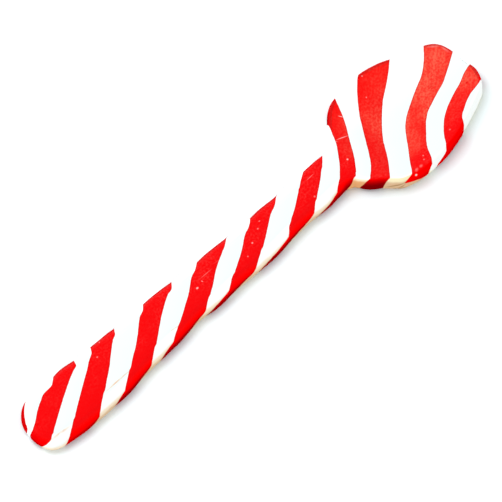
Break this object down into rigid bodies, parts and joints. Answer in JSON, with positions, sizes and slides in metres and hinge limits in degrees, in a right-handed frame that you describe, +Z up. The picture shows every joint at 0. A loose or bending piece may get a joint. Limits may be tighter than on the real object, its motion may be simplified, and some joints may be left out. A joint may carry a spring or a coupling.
{
  "type": "candy cane spoon",
  "caption": "Pressed hard candy spoon with a long flat handle, a shallow blunt-ended bowl and slanting red and white stripes, for stirring a hot drink and then eating.",
  "frame": {"origin": "on the table, under the middle of the spoon's bounding box", "axes": "+X along the spoon from the handle's round end to the tip of the bowl, +Y across it, +Z up out of the bowl"},
  "size_m": [0.1403, 0.0284, 0.006],
  "materials": {
    "candy": "glossy opaque boiled sugar, white with slanting stripes of strong red right through to the edges"
  },
  "bodies": {
    "root": {"spoon": "candy"}
  },
  "joints": []
}
